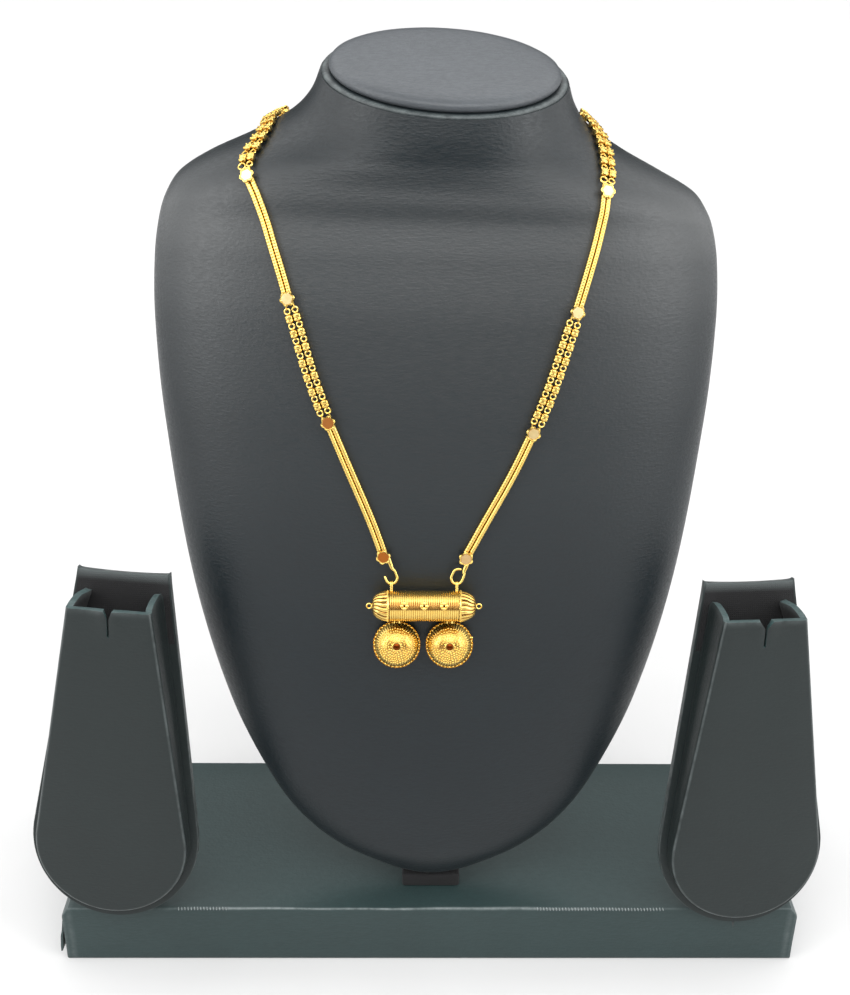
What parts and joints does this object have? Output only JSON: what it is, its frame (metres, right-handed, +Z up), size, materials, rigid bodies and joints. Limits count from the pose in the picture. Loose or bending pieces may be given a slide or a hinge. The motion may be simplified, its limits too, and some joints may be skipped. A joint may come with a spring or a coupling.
{
  "type": "mangalsutra necklace on a neck bust display stand",
  "caption": "Gold two-strand mangalsutra with a barrel and cup pendant, round a padded neck bust on a base board with earring pockets.",
  "frame": {"origin": "centre of the base board's underside, on the surface that the stand rests on", "axes": "+Z up, -Y towards the viewer who faces the necklace, +X to that viewer's right"},
  "size_m": [0.3197, 0.1289, 0.3588],
  "materials": {
    "leatherette": "fine grained, dark grey, satin",
    "dark_lining": "matt dark paper-backed covering",
    "snake_chain_gold": "polished gold, woven links",
    "bead_chain_gold": "polished gold",
    "pendant_gold": "polished gold with milled and granulated relief"
  },
  "bodies": {
    "root": {"base_board": "leatherette", "neck_bust": "leatherette", "neck_pad": "leatherette", "bust_foot": "dark_lining", "pocket_back_left": "dark_lining", "pocket_front_left": "leatherette", "pocket_back_right": "dark_lining", "pocket_front_right": "leatherette", "barrel": "pendant_gold", "barrel_cap_left": "pendant_gold", "barrel_cap_right": "pendant_gold", "cup_left": "pendant_gold", "cup_right": "pendant_gold", "hook_left": "pendant_gold", "hook_right": "pendant_gold", "plate_left_2": "pendant_gold", "plate_left_3": "pendant_gold", "plate_left_4": "pendant_gold", "plate_left_5": "pendant_gold", "plate_right_2": "pendant_gold", "plate_right_3": "pendant_gold", "plate_right_4": "pendant_gold", "plate_right_5": "pendant_gold", "snake_left_low_outer": "snake_chain_gold", "snake_left_low_inner": "snake_chain_gold", "snake_left_high_outer": "snake_chain_gold", "snake_left_high_inner": "snake_chain_gold", "snake_nape_outer": "snake_chain_gold", "snake_nape_inner": "snake_chain_gold", "snake_right_high_outer": "snake_chain_gold", "snake_right_high_inner": "snake_chain_gold", "snake_right_low_outer": "snake_chain_gold", "snake_right_low_inner": "snake_chain_gold", "beads_left_low_outer": "bead_chain_gold", "beads_left_low_inner": "bead_chain_gold", "beads_left_high_outer": "bead_chain_gold", "beads_left_high_inner": "bead_chain_gold", "beads_right_high_outer": "bead_chain_gold", "beads_right_high_inner": "bead_chain_gold", "beads_right_low_outer": "bead_chain_gold", "beads_right_low_inner": "bead_chain_gold"}
  },
  "joints": []
}
